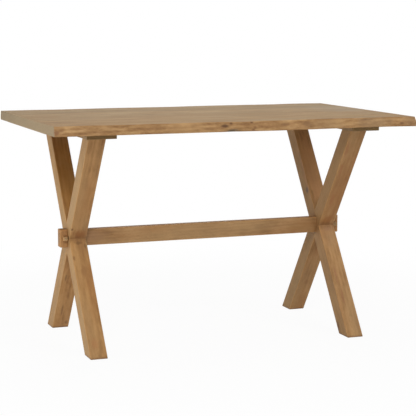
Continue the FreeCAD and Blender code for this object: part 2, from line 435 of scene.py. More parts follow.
legWood = {
    "tones": [(0.2, (0.255, 0.125, 0.042)), (0.5, (0.405, 0.219, 0.081)), (0.8, (0.50, 0.292, 0.120))],
    "red": (0.34, 0.145, 0.043), "redShare": 0.55,
    "grey": (0.43, 0.275, 0.125), "greyShare": 0.5,
    "side": (0.405, 0.258, 0.110), "paintedSideShare": 0.5,
    "pore": (0.19, 0.09, 0.033),
    "end": (0.24, 0.14, 0.062), "endShare": 0.6,
    "rub": (0.52, 0.275, 0.098), "rubAndGlintShare": 0.5, "rubAndGlintWidth": 0.006,
    "pith": (0.0, 0.045, 0.07), "askew": 0.035,
    "ringScale": 24.0, "ringDepth": 0.12, "streakDepth": 0.55, "fibreDepth": 0.3, "mottleDepth": 1.3,
    "rough": 0.50, "roughSpread": 0.2, "specular": 0.3, "bump": 0.25,
}
topWood = {
    "tones": [(0.2, (0.25, 0.155, 0.075)), (0.5, (0.37, 0.245, 0.127)), (0.8, (0.47, 0.33, 0.182))],
    "edgeTones": [(0.2, (0.17, 0.078, 0.026)), (0.5, (0.36, 0.196, 0.077)), (0.8, (0.53, 0.325, 0.145))],
    "red": (0.35, 0.195, 0.082), "redShare": 0.4,
    "grey": (0.35, 0.262, 0.155), "greyShare": 0.5,
    "side": (0.37, 0.25, 0.135), "paintedSideShare": 0.0,
    "pore": (0.17, 0.095, 0.04),
    # the ends' greyer tint is partly end grain, partly painted cool light
    "end": (0.34, 0.262, 0.160), "endShare": 0.75,
    "rub": (0.43, 0.285, 0.145), "rubAndGlintShare": 0.3, "rubAndGlintWidth": 0.005,
    "pith": (0.0, 0.02, 0.09), "askew": 0.03,
    "ringScale": 22.0, "ringDepth": 0.2, "streakDepth": 0.9, "fibreDepth": 0.3, "mottleDepth": 0.65,
    "rough": 0.62, "roughSpread": 0.2, "specular": 0.3, "bump": 0.22,
}
pegWood = {
    **legWood,
    "tones": [(0.2, (0.33, 0.175, 0.065)), (0.5, (0.47, 0.27, 0.11)), (0.8, (0.56, 0.345, 0.155))],
    "end": (0.37, 0.24, 0.118), "endShare": 0.8,
}
# painted shade: the cleat is a darker copy of the legs' wood, for the shade it sits in under the top
cleatWoodInShade = {
    **legWood,
    "tones": [(0.2, (0.15, 0.086, 0.03)), (0.5, (0.24, 0.142, 0.055)), (0.8, (0.31, 0.192, 0.08))],
    "red": (0.22, 0.11, 0.04), "grey": (0.25, 0.17, 0.085), "side": (0.30, 0.19, 0.085),
    "end": (0.25, 0.152, 0.054), "endShare": 0.95,
    "rub": (0.28, 0.17, 0.07), "rubAndGlintShare": 0.2,
}
dowelWood = {
    **legWood,
    "tones": [(0.2, (0.46, 0.31, 0.16)), (0.5, (0.55, 0.40, 0.23)), (0.8, (0.62, 0.47, 0.29))],
}


def gained(colour, gains):
    return tuple(channel * gain for channel, gain in zip(colour, gains))


def toned(look, gains, sideLightGains=(1.0, 1.0, 1.0)):
    # the same wood with each colour channel a little lighter or darker: another tree's tone, and on the
    # legs also painted light and shade; the side gains scale the painted side light
    shades = [(stop, gained(colour, gains)) for stop, colour in look["tones"]]
    return {**look, "tones": shades, "side": gained(look["side"], sideLightGains)}


# shaping helpers

def blockBetween(bm, low, high):
    size = high - low
    matrix = Matrix.Translation((low + high) / 2) @ Matrix.Diagonal((size.x, size.y, size.z, 1))
    bmesh.ops.create_cube(bm, size=1.0, matrix=matrix)


def ease(bm, edges, width, steps):
    bmesh.ops.bevel(
        bm, geom=edges, offset=width, offset_type="OFFSET", segments=steps,
        profile=0.5, affect="EDGES", material=-1, clamp_overlap=True,
    )


def extruded(bm, faces, keep=False):
    # the new vertices and faces
    made = bmesh.ops.extrude_face_region(bm, geom=faces, use_keep_orig=keep)["geom"]
    verts = [g for g in made if isinstance(g, bmesh.types.BMVert)]
    return verts, [g for g in made if isinstance(g, bmesh.types.BMFace)]


def dropFaces(bm, faces):
    bmesh.ops.delete(bm, geom=[face for face in faces if face.is_valid], context="FACES_ONLY")


def edgesAlong(bm, axis, test=lambda edge: True):
    axis = Vector(axis).normalized()
    found = []
    for edge in bm.edges:
        run = edge.verts[1].co - edge.verts[0].co
        if run.length > weld and abs(run.normalized().dot(axis)) > squareTo and test(edge):
            found.append(edge)
    return found


def spanOf(points, axis):
    places = [point[axis] for point in points]
    return max(places) - min(places)


def finishPiece(bm, name, node, finish, sharpAngle=40):
    bmesh.ops.remove_doubles(bm, verts=bm.verts, dist=weld)
    bmesh.ops.recalc_face_normals(bm, faces=bm.faces)
    mesh = bpy.data.meshes.new(name)
    bm.to_mesh(mesh)
    bm.free()
    mesh.materials.append(finish)
    mesh.shade_smooth()
    mesh.set_sharp_from_angle(angle=math.radians(sharpAngle))
    piece = bpy.data.objects.new(name, mesh)
    scene.collection.objects.link(piece)
    shading = piece.modifiers.new("evenShading", "WEIGHTED_NORMAL")
    shading.keep_sharp = True
    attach(piece, "root")
    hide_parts(node)


def placesOf(node, apart=0.03):
    # middle and size of each separate copy in a group node
    groups = []
    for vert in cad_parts[node].data.vertices:
        home = next((g for g in groups if (g[0].xy - vert.co.xy).length < apart), None)
        if home is None:
            groups.append([vert.co.copy(), vert.co.copy(), vert.co.copy()])
            continue
        for axis in range(3):
            home[1][axis] = min(home[1][axis], vert.co[axis])
            home[2][axis] = max(home[2][axis], vert.co[axis])
    return [((low + high) / 2, high - low) for first, low, high in groups]


def flatFace(bm, place, along):
    # the flat face square to one axis that lies nearest to a place
    flats = [f for f in bm.faces if abs(f.normal[along]) > squareTo]
    return min(flats, key=lambda f: (f.calc_center_bounds() - place).length)


def cutThrough(bm, middles, along, sides):
    # a squared hole from the face at the first middle to the face at the second
    rims = []
    for middle in middles:
        face = flatFace(bm, middle, along)
        outline = list(face.edges)
        normal = face.normal.copy()
        dropFaces(bm, [face])
        corners = []
        for first, second in ((-1, -1), (1, -1), (1, 1), (-1, 1)):
            corner = middle.copy()
            corner[(along + 1) % 3] += first * sides[0] / 2
            corner[(along + 2) % 3] += second * sides[1] / 2
            corners.append(bm.verts.new(corner))
        rim = [bm.edges.new(pair) for pair in zip(corners, corners[1:] + corners[:1])]
        bmesh.ops.triangle_fill(bm, edges=outline + rim, use_beauty=True, normal=normal)
        rims += rim
    bmesh.ops.bridge_loops(bm, edges=rims)


# the through joint between stretcher, X frames and keeper blocks

jointShape = {"tenonRoom": 0.0003, "pegRoom": 0.0002}


def tenonSection():
    # the stretcher's size at its very ends
    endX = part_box("stretcher")[1].x
    tips = [v.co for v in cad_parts["stretcher"].data.vertices if v.co.x > endX - hair]
    return Vector([spanOf(tips, axis) for axis in range(3)])


tenonSize = tenonSection()
mortise = [size + 2 * jointShape["tenonRoom"] for size in tenonSize]


def pegHole(side):
    # middle of the peg and the sides of its hole along z and x
    low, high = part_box(f"{side}_peg")
    return (low + high) / 2, [high[axis] - low[axis] + 2 * jointShape["pegRoom"] for axis in (2, 0)]


# X frames

legShape = {
    "easing": 0.0024, "easeSteps": 3,
    "scuff": 0.011,          # height of the painted shade round each foot, next to the floor
    # painted shade in the corners of the lap and round the stretcher's ends, in the pore colour
    "lapShadeReach": (0.024, 0.06, 0.016), "lapShadeShare": 0.55,
    "sideShadeAhead": 0.012, "sideShadeReach": (0.062, 0.012, 0.050), "paintedSideShare": 0.5,
}
legMarks = {
    "left_front_leg": [
        mark((-0.551, -0.124, 0.312), (0.038, 0.018, 0.03), 0.6, (0.27, 0.115, 0.038)),
        mark((-0.582, -0.090, 0.361), (0.016, 0.007, 0.02), 0.6, (0.17, 0.075, 0.03)),
        mark((-0.562, -0.300, 0.052), (0.034, 0.020, 0.03), 0.4, (0.42, 0.17, 0.06)),
        # painted shade: a darker, more saturated upper arm in the shade under the top
        mark((-0.553, 0.110, 0.650), (0.26, 0.05, 0.05), 0.5, (0.39, 0.17, 0.030), 0.4),
        # these two: painted shade below and round the lap
        mark((-0.545, -0.095, 0.355), (0.14, 0.045, 0.045), 0.35, (0.32, 0.17, 0.062), 0.2),
        mark((-0.537, -0.060, 0.400), (0.060, 0.045, 0.04), 0.6, (0.28, 0.14, 0.048), 0.05),
        mark((-0.520, -0.056, 0.409), (0.030, 0.007, 0.02), 0.5, (0.42, 0.28, 0.12)),
        mark((-0.550, -0.053, 0.415), (0.010, 0.022, 0.02), 0.6, (0.15, 0.07, 0.024)),
        mark((-0.528, -0.061, 0.402), (0.018, 0.007, 0.02), 0.6, (0.14, 0.066, 0.024)),
    ],
    "left_rear_leg": [
        mark((-0.571, 0.082, 0.252), (0.030, 0.006, 0.02), 0.6, (0.15, 0.07, 0.03)),
        mark((-0.560, 0.194, 0.090), (0.045, 0.006, 0.02), 0.5, (0.17, 0.08, 0.035)),
        mark((-0.532, 0.238, 0.026), (0.016, 0.010, 0.02), 0.5, (0.16, 0.075, 0.03)),
        # painted shade round the lap
        mark((-0.549, -0.055, 0.450), (0.040, 0.055, 0.04), 0.85, (0.27, 0.108, 0.034), 0.1),
        mark((-0.584, -0.072, 0.474), (0.010, 0.007, 0.012), 0.85, (0.12, 0.055, 0.022)),
    ],
    "right_front_leg": [
        mark((0.519, 0.079, 0.569), (0.022, 0.006, 0.02), 0.8, (0.10, 0.08, 0.07)),
        mark((0.539, -0.177, 0.236), (0.060, 0.007, 0.02), 0.45, (0.34, 0.14, 0.07)),
        mark((0.544, -0.235, 0.151), (0.050, 0.006, 0.02), 0.45, (0.34, 0.14, 0.07)),
        # painted light: a lighter upper arm, lit although it lies in the shade under the top
        mark((0.553, 0.110, 0.650), (0.26, 0.05, 0.05), 0.7, (0.58, 0.30, 0.13), 0.4),
        # these two: painted shade below and round the lap
        mark((0.555, -0.075, 0.385), (0.08, 0.045, 0.045), 0.35, (0.36, 0.20, 0.095), 0.2),
        mark((0.558, -0.052, 0.416), (0.020, 0.038, 0.03), 0.6, (0.32, 0.17, 0.085)),
        mark((0.519, -0.250, 0.032), (0.036, 0.012, 0.014), 0.8, (0.16, 0.078, 0.036)),
    ],
    "right_rear_leg": [
        mark((0.553, 0.157, 0.144), (0.022, 0.014, 0.02), 0.5, (0.26, 0.12, 0.045)),
        # painted shade: a darker upper arm
        mark((0.558, -0.170, 0.615), (0.30, 0.046, 0.05), 0.5, (0.31, 0.14, 0.046), 0.3),
        mark((0.529, -0.285, 0.780), (0.07, 0.010, 0.03), 0.5, (0.34, 0.125, 0.05)),
        mark((0.533, -0.220, 0.688), (0.05, 0.010, 0.03), 0.4, (0.34, 0.125, 0.05)),
        mark((0.540, -0.125, 0.550), (0.06, 0.012, 0.03), 0.5, (0.33, 0.125, 0.045)),
        # painted shade round the lap
        mark((0.549, -0.060, 0.456), (0.035, 0.040, 0.03), 0.6, (0.30, 0.115, 0.032)),
        mark((0.582, -0.250, 0.731), (0.060, 0.010, 0.02), 0.4, (0.36, 0.15, 0.055)),
    ],
}
# gains of the front and rear faces, then of the two sides: partly each board's own tone, partly painted
# light and shade; the side gains scale the painted side light
legToneAndLight = {
    "left_front_leg": ((1.08, 1.04, 0.95), (1.08, 1.05, 1.00)),
    "left_rear_leg": ((1.09, 1.04, 0.99), (1.03, 1.03, 1.03)),
    "right_front_leg": ((1.08, 1.08, 1.12), (0.80, 0.76, 0.74)),
    "right_rear_leg": ((0.92, 0.87, 0.83), (0.93, 0.92, 0.90)),
}


def leanOf(low, high):
    # how far the beam's line moves along y for each metre up, worked out from its box
    square, depth, height = high - low
    root = square * math.sqrt(depth ** 2 + height ** 2 - square ** 2)
    return (depth * height - root) / (height ** 2 - square ** 2)


def legOutline(low, high, lean, rise, crossing):
    # rows from foot to top, each the front and rear corner of the side face
    halfCut = (high.x - low.x) / 2 * math.hypot(1, lean)
    reach = halfCut / lean
    foot, top = [
        [(rise * (z - crossing) * lean + side * halfCut, z) for side in (-1, 1)] for z in (low.z, high.z)
    ]
    front, rear = (-halfCut, crossing), (halfCut, crossing)
    lower, upper = (0.0, crossing - reach), (0.0, crossing + reach)
    if rise > 0:
        return [foot, [front, lower], [upper, rear], top]
    return [foot, [lower, rear], [front, upper], top]


def makeLeg(node, rise, seed):
    low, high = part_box(node)
    half = (high.x - low.x) / 2
    lean = leanOf(low, high)
    railLow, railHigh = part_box("stretcher")
    crossing = (railLow.z + railHigh.z) / 2
    centre = Vector(((low.x + high.x) / 2, 0, crossing))
    nearX, halfStep = (low.x, Vector((half, 0, 0))) if rise > 0 else (high.x, Vector((-half, 0, 0)))
    bm = bmesh.new()
    rows = [
        [bm.verts.new((nearX, y, z)) for y, z in row]
        for row in legOutline(low, high, lean, rise, crossing)
    ]
    sideFaces = [bm.faces.new((a[0], a[1], b[1], b[0])) for a, b in zip(rows, rows[1:])]
    # the whole side goes to half the thickness, then only the two arms go on past the lap
    verts, faces = extruded(bm, sideFaces, keep=True)
    bmesh.ops.translate(bm, vec=halfStep, verts=verts)
    arms = sorted(faces, key=lambda face: face.calc_center_median().z)[::2]
    bmesh.ops.translate(bm, vec=halfStep, verts=extruded(bm, arms)[0])
    dropFaces(bm, arms)
    bmesh.ops.recalc_face_normals(bm, faces=bm.faces)

    def onSide(edge):
        return all(min(abs(v.co.x - low.x), abs(v.co.x - high.x)) < hair for v in edge.verts)

    axis = Vector((0, rise * lean, 1))
    footRim = [
        e for e in bm.edges
        if all(v.co.z < low.z + hair for v in e.verts)
        and any(abs(f.normal.z) < squareTo for f in e.link_faces)
    ]
    ease(bm, edgesAlong(bm, axis, onSide) + footRim, legShape["easing"], legShape["easeSteps"])
    cutThrough(bm, [Vector((nearX, 0, crossing)), centre], 0, mortise[1:])

    # painted shade in the lap's front corner and on both sides round the stretcher
    notch = (centre.x, -half * math.hypot(1, lean), crossing)
    paintedShade = [mark(notch, legShape["lapShadeReach"], legShape["lapShadeShare"], legWood["pore"])]
    for x in (low.x, high.x):
        side = (x, -legShape["sideShadeAhead"], crossing)
        paintedShade.append(mark(side, legShape["sideShadeReach"], legShape["paintedSideShare"], legWood["pore"]))
    finish = woodFinish(
        f"{node}_wood", toned(legWood, *legToneAndLight[node]), centre, grainTurn(axis, (1, 0, 0)),
        (boundless, half, half), seed, legMarks[node] + paintedShade, floorShadeTo=legShape["scuff"],
    )
    words = node.split("_")
    name = words[0] + "".join(word.title() for word in words[1:])
    finishPiece(bm, name, node, finish)


# 1 leans to the rear as it rises and -1 to the front, then comes the seed of its grain
makeLeg("left_front_leg", 1, 1.0)
makeLeg("left_rear_leg", -1, 2.0)
makeLeg("right_front_leg", 1, 3.0)
makeLeg("right_rear_leg", -1, 4.0)
print("X frames shaped")


# stretcher, keeper blocks and pegs

railShape = {
    "easing": 0.0020, "easeSteps": 3, "tenonEasing": 0.0012, "tenonSteps": 2,
    "gains": (0.91, 0.91, 0.98),
    "marks": [
        # painted shadow: both ends of the stretcher darker beside the legs
        mark((-0.490, -0.019, 0.430), (0.09, 0.02, 0.045), 0.5, (0.30, 0.165, 0.085), 0.1),
        mark((0.470, -0.019, 0.420), (0.16, 0.02, 0.05), 0.5, (0.255, 0.14, 0.05), 0.1),
    ],
}


def makeStretcher():
    low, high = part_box("stretcher")
    middle = (low + high) / 2
    size = high - low
    shoulderX = -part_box("left_front_leg")[1].x
    bm = bmesh.new()
    blockBetween(bm, Vector((-shoulderX, low.y, low.z)), Vector((shoulderX, high.y, high.z)))
    ease(bm, edgesAlong(bm, (1, 0, 0)), railShape["easing"], railShape["easeSteps"])
    draw = (1, tenonSize.y / size.y, tenonSize.z / size.z)
    for side in (-1, 1):
        shoulder = [f for f in bm.faces if f.normal.x * side > squareTo and len(f.verts) > 4]
        ring, root = extruded(bm, shoulder)
        bmesh.ops.scale(bm, vec=draw, space=Matrix.Translation(-middle), verts=ring)
        tip = extruded(bm, root)[0]
        bmesh.ops.translate(bm, vec=(side * (high.x - shoulderX), 0, 0), verts=tip)
        dropFaces(bm, shoulder + root)
        rim = [e for e in bm.edges if all(abs(v.co.x - side * high.x) < hair for v in e.verts)]
        ease(bm, rim, railShape["tenonEasing"], railShape["tenonSteps"])
    for side in ("left", "right"):
        peg, sides = pegHole(side)
        cutThrough(bm, [Vector((peg.x, turn * tenonSize.y / 2, peg.z)) for turn in (-1, 1)], 1, sides)
    finish = woodFinish(
        "stretcher_wood", {**toned(legWood, railShape["gains"]), "paintedSideShare": 0.0}, middle,
        grainTurn((1, 0, 0), (0, 1, 0)), size / 2, 6.0, railShape["marks"],
    )
    finishPiece(bm, "stretcherRail", "stretcher", finish)


blockShape = {
    "easing": 0.0034, "easeSteps": 4,
    "gains": (1.02, 0.93, 0.92),
    "pegShadowReach": (0.019, 0.05, 0.017), "pegShadowCore": 0.5,
    "stain": {"left": 0.6, "right": 0.15},
}


def makeKeeperBlock(side, seed):
    node = f"{side}_keeper_block"
    low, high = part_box(node)
    middle = (low + high) / 2
    half = (high - low) / 2
    bm = bmesh.new()
    blockBetween(bm, low, high)
    ease(bm, list(bm.edges), blockShape["easing"], blockShape["easeSteps"])
    mouths = []
    for turn in (-1, 1):
        face = max((f for f in bm.faces if f.normal.x * turn > squareTo), key=lambda f: f.calc_area())
        ring, cap = extruded(bm, [face])
        points = [v.co for v in ring]
        draw = (1, mortise[1] / spanOf(points, 1), mortise[2] / spanOf(points, 2))
        bmesh.ops.scale(bm, vec=draw, space=Matrix.Translation(-middle), verts=ring)
        mouths += [e for f in cap for e in f.edges]
        dropFaces(bm, [*cap, face])
    bmesh.ops.bridge_loops(bm, edges=mouths)
    bmesh.ops.recalc_face_normals(bm, faces=bm.faces)
    peg, sides = pegHole(side)
    for wall in (low.y, high.y):
        inner = math.copysign(mortise[1] / 2, wall)
        cutThrough(bm, [Vector((peg.x, y, peg.z)) for y in (wall, inner)], 1, sides)
    # painted shadow round and under the peg on the keeper block
    stain = mark(
        peg, blockShape["pegShadowReach"], blockShape["stain"][side], legWood["pore"], blockShape["pegShadowCore"],
    )
    finish = woodFinish(
        f"{node}_wood", {**toned(legWood, blockShape["gains"]), "paintedSideShare": 0.0}, middle,
        grainTurn((0, 0, 1), (0, 1, 0)), half.zyx, seed, [stain],
    )
    finishPiece(bm, f"{side}KeeperBlock", node, finish)


pegShape = {"corner": 0.0011, "end": 0.0024, "steps": 2, "gain": {"left": 0.92, "right": 0.7}}


def makePeg(side, seed):
    node = f"{side}_peg"
    low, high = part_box(node)
    bm = bmesh.new()
    blockBetween(bm, low, high)
    ease(bm, edgesAlong(bm, (0, 1, 0)), pegShape["corner"], pegShape["steps"])
    ends = [e for e in bm.edges if abs(e.verts[0].co.y - e.verts[1].co.y) < hair]
    ease(bm, ends, pegShape["end"], pegShape["steps"])
    gains = [pegShape["gain"][side]] * 3
    look = {**toned(pegWood, gains), "end": gained(pegWood["end"], gains)}
    half = (high - low) / 2
    finish = woodFinish(
        f"{node}_wood", look, (low + high) / 2, grainTurn((0, 1, 0), (1, 0, 0)), half.yxz, seed,
    )
    finishPiece(bm, f"{side}Peg", node, finish)


makeStretcher()
for place, side in enumerate(("left", "right")):
    makeKeeperBlock(side, 8.0 + place)
    makePeg(side, 11.0 + place)
print("stretcher, keeper blocks and pegs shaped")


# cleats

cleatShape = {
    "easing": 0.002, "easeSteps": 2,
    "pocketRoom": 0.0005, "slotTravel": 0.008,
    "pocketRound": 0.97, "pocketSteps": 6,          # the pockets' ends are nearly half round
}


def sinkPockets(bm, low, high):
    # long pockets that let the bolt heads sit inside the cleat
    bolts = [middle for middle, size in placesOf("top_bolts") if low.x < middle.x < high.x]
    halfWide = placesOf("top_washers")[0][1].x / 2 + cleatShape["pocketRoom"]
    halfLong = halfWide + cleatShape["slotTravel"] / 2
    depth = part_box("top_washers")[1].z - low.z
    cuts = {(round(bolt.x + turn * halfWide, 6), 0) for bolt in bolts for turn in (-1, 1)}
    cuts |= {(round(bolt.y + turn * halfLong, 6), 1) for bolt in bolts for turn in (-1, 1)}
    for place, axis in sorted(cuts):
        at, along = Vector(), Vector()
        at[axis], along[axis] = place, 1.0
        bmesh.ops.bisect_plane(bm, geom=[*bm.verts, *bm.edges, *bm.faces], plane_co=at, plane_no=along)

    def inPocket(face):
        spot = face.calc_center_median()
        return any(abs(spot.x - b.x) < halfWide and abs(spot.y - b.y) < halfLong for b in bolts)

    mouths = [f for f in bm.faces if f.normal.z < -squareTo and inPocket(f)]
    floors = bmesh.ops.extrude_discrete_faces(bm, faces=mouths)["faces"]
    corners = [v for f in floors for v in f.verts]
    bmesh.ops.translate(bm, vec=(0, 0, depth), verts=corners)
    uprights = [
        e for v in corners for e in v.link_edges
        if abs(e.verts[0].co.z - e.verts[1].co.z) > depth / 2
    ]
    ease(bm, uprights, halfWide * cleatShape["pocketRound"], cleatShape["pocketSteps"])


def makeCleat(side, seed):
    node = f"{side}_cleat"
    low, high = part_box(node)
    half = (high - low) / 2
    bm = bmesh.new()
    blockBetween(bm, low, high)
    lower = [e for e in bm.edges if min(v.co.z for v in e.verts) < low.z + hair]
    ease(bm, lower, cleatShape["easing"], cleatShape["easeSteps"])
    sinkPockets(bm, low, high)
    finish = woodFinish(
        f"{node}_wood", cleatWoodInShade, (low + high) / 2, grainTurn((0, 1, 0), (1, 0, 0)), half.yxz, seed,
    )
    finishPiece(bm, f"{side}Cleat", node, finish)


makeCleat("left", 14.0)
makeCleat("right", 15.0)
print("cleats shaped")


# table top

plankShape = {
    "joint": 0.0004, "jointSteps": 1, "endEasing": 0.0020, "endSteps": 3,
    # how much the boards differ, and how fast that turns from one to the next
    "toneSpread": 0.07, "toneStep": 2.7,
    "pithSide": 0.03, "pithSideStep": 2.1,
    "pithDeep": 0.07, "pithSpread": 0.04, "pithStep": 1.3,
    "rearGrey": 0.1, "sheenGains": (0.3, 1.0, 2.0),       # painted sheen, in red, green and blue unevenly
    "marks": [
        # painted sheen: a lighter, greyer patch over the top's right part
        mark((0.660, 0.080, 0.920), (0.20, 0.32, 0.2), 0.45, (0.42, 0.34, 0.25), 0.1),
        mark((0.200, -0.100, 0.920), (0.24, 0.14, 0.2), 0.4, (0.30, 0.185, 0.082), 0.2),
    ],
}


def topToneAndSheen(low, high, lift):
    # each board with its own lift in tone, and a painted sheen that makes the boards at the back lighter
    # and greyer than those at the front
    rearward = plankShape["rearGrey"] * (low.y + high.y)
    return toned(topWood, [lift * (1 + gain * rearward) for gain in plankShape["sheenGains"]])


def makePlank(number, seed):
    node = f"top_plank_{number}"
    low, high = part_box(node)
    bm = bmesh.new()
    blockBetween(bm, low, high)
    ease(bm, edgesAlong(bm, (1, 0, 0)), plankShape["joint"], plankShape["jointSteps"])
    ends = [
        e for e in bm.edges
        if all(abs(abs(v.co.x) - high.x) < weld for v in e.verts)
        and abs(e.verts[0].co.z - e.verts[1].co.z) < 2 * plankShape["joint"]
    ]
    ease(bm, ends, plankShape["endEasing"], plankShape["endSteps"])
    look = topToneAndSheen(low, high, 1 + plankShape["toneSpread"] * math.sin(seed * plankShape["toneStep"]))
    pithY = plankShape["pithSide"] * math.sin(seed * plankShape["pithSideStep"])
    pithZ = plankShape["pithDeep"] + plankShape["pithSpread"] * math.sin(seed * plankShape["pithStep"])
    look["pith"] = (0.0, pithY, pithZ)
    finish = woodFinish(
        f"{node}_wood", look, (low + high) / 2, grainTurn((1, 0, 0), (0, 1, 0)), (high - low) / 2, seed,
        plankShape["marks"],
    )
    finishPiece(bm, f"topPlank{number}", node, finish)


liveEdge = {
    "step": 0.006,                                           # between stations along the board
    "endSteps": (0.0, 0.0002, 0.0006, 0.0012, 0.0020),       # from each end, the last is its easing
    "arris": 0.0022,
    "arrisSteps": (0.0, 0.0002, 0.0006, 0.0013, 0.0022),     # from the upper and lower flat
    "faceSteps": 7,                                          # levels between the two arrises
    "flats": (0.0, 0.3, 0.6, 0.8, 0.92),                     # shares of the way across the flats
    "probeFrom": 2.0, "probeMargin": 0.0002,
    "sharpAngle": 60,
    # small ripples: scale along and up the edge, shift of the seed, share
    "waves": ((28, 60, 0, 1.0), (70, 120, 4, 0.6)),
    "ripple": 0.0011, "rippleSink": 0.8,
    # hollow low in the middle of the front edge
    "pocketAt": -0.040, "pocketHalf": 0.040, "pocketRise": 0.007, "pocketDepth": 0.006, "pocketSlope": 1.6,
    # the front edge leans out at the right
    "swellFrom": 0.60, "swell": 0.012, "swellTop": 0.95, "swellFull": 0.45,
}
frontMarks = [
    mark((-0.230, -0.452, 0.902), (0.13, 0.04, 0.06), 0.35, (0.52, 0.31, 0.135), 0.3),
    mark((0.355, -0.452, 0.902), (0.12, 0.04, 0.06), 0.45, (0.26, 0.152, 0.072), 0.3),
    mark((0.570, -0.452, 0.902), (0.11, 0.04, 0.06), 0.3, (0.36, 0.255, 0.148), 0.3),
    mark((-0.076, -0.452, 0.905), (0.023, 0.03, 0.0085), 0.9, (0.095, 0.042, 0.018)),
    mark((-0.051, -0.452, 0.914), (0.010, 0.03, 0.006), 0.9, (0.11, 0.05, 0.022)),
    mark((0.032, -0.452, 0.916), (0.010, 0.03, 0.006), 0.9, (0.12, 0.055, 0.025)),
    mark((0.046, -0.446, 0.897), (0.012, 0.03, 0.009), 0.85, (0.14, 0.055, 0.024)),
    mark((0.040, -0.446, 0.889), (0.010, 0.03, 0.007), 0.8, (0.15, 0.062, 0.028)),
    mark((0.016, -0.446, 0.898), (0.009, 0.03, 0.005), 0.6, (0.19, 0.08, 0.034)),
    mark((0.175, -0.452, 0.906), (0.026, 0.03, 0.010), 0.45, (0.20, 0.10, 0.045)),
    mark((0.269, -0.452, 0.904), (0.024, 0.03, 0.011), 0.5, (0.19, 0.095, 0.042)),
    mark((0.688, -0.452, 0.896), (0.013, 0.03, 0.008), 0.75, (0.15, 0.06, 0.024)),
    mark((-0.721, -0.452, 0.905), (0.016, 0.03, 0.009), 0.5, (0.22, 0.10, 0.042)),
    mark((-0.740, -0.452, 0.898), (0.016, 0.03, 0.016), 0.7, (0.22, 0.095, 0.045)),
    mark((0.735, -0.455, 0.905), (0.075, 0.04, 0.04), 0.5, (0.25, 0.145, 0.072), 0.2),
    mark((-0.040, -0.440, 0.887), (0.046, 0.03, 0.011), 0.75, (0.17, 0.125, 0.075)),
    mark((-0.052, -0.440, 0.886), (0.024, 0.03, 0.008), 0.8, (0.10, 0.075, 0.045)),
]
rearMarks = [
    mark((-0.580, 0.452, 0.902), (0.018, 0.03, 0.009), 0.8, (0.12, 0.052, 0.022)),
    mark((-0.240, 0.452, 0.908), (0.030, 0.03, 0.010), 0.45, (0.20, 0.095, 0.042)),
    mark((0.090, 0.452, 0.896), (0.014, 0.03, 0.007), 0.8, (0.14, 0.06, 0.026)),
    mark((0.370, 0.452, 0.904), (0.024, 0.03, 0.010), 0.6, (0.19, 0.085, 0.036)),
    mark((0.640, 0.452, 0.899), (0.012, 0.03, 0.006), 0.7, (0.13, 0.06, 0.026)),
]


def clamped(value, low, high):
    return min(max(value, low), high)


def smoothStep(share):
    share = clamped(share, 0.0, 1.0)
    return share * share * (3 - 2 * share)


def arrisInset(depth, radius):
    # how far a round arris draws in at a depth below the flat
    if depth >= radius:
        return 0.0
    return radius - math.sqrt(radius ** 2 - (radius - depth) ** 2)


def stationsAlong(low, high):
    # places along the board, close together at its eased ends
    ends = liveEdge["endSteps"]
    count = round((high.x - low.x) / liveEdge["step"])
    inner = [low.x + (high.x - low.x) * i / count for i in range(1, count)]
    return [*(low.x + depth for depth in ends), *inner, *(high.x - depth for depth in reversed(ends))]


def levelsUp(thick):
    # heights up the natural edge, close together at its two arrises
    arris, rim, count = liveEdge["arris"], liveEdge["arrisSteps"], liveEdge["faceSteps"]
    rise = (thick - 2 * arris) / (count + 1)
    middle = [arris + rise * (i + 1) for i in range(count)]
    return [*rim, *middle, *(thick - depth for depth in reversed(rim))]


def rippleAt(x, level, seed):
    waves = sum(
        share * noise.noise(Vector((x * along, level * up, seed + shift)))
        for along, up, shift, share in liveEdge["waves"]
    )
    return liveEdge["ripple"] * (waves - liveEdge["rippleSink"])


def frontForm(x, level, thick, endX):
    # how far the front edge stands out at its leaning right end, or in at its hollow
    near = max(0.0, 1 - ((x - liveEdge["pocketAt"]) / liveEdge["pocketHalf"]) ** 2)
    under = max(0.0, 1 - level / (liveEdge["pocketRise"] * liveEdge["pocketSlope"]))
    hollow = liveEdge["pocketDepth"] * near * min(1.0, liveEdge["pocketSlope"] * under)
    far = max(0.0, (x - liveEdge["swellFrom"]) / (endX - liveEdge["swellFrom"]))
    lower = (liveEdge["swellTop"] - level / thick) / (liveEdge["swellTop"] - liveEdge["swellFull"])
    return liveEdge["swell"] * far ** 2 * smoothStep(lower) - hollow


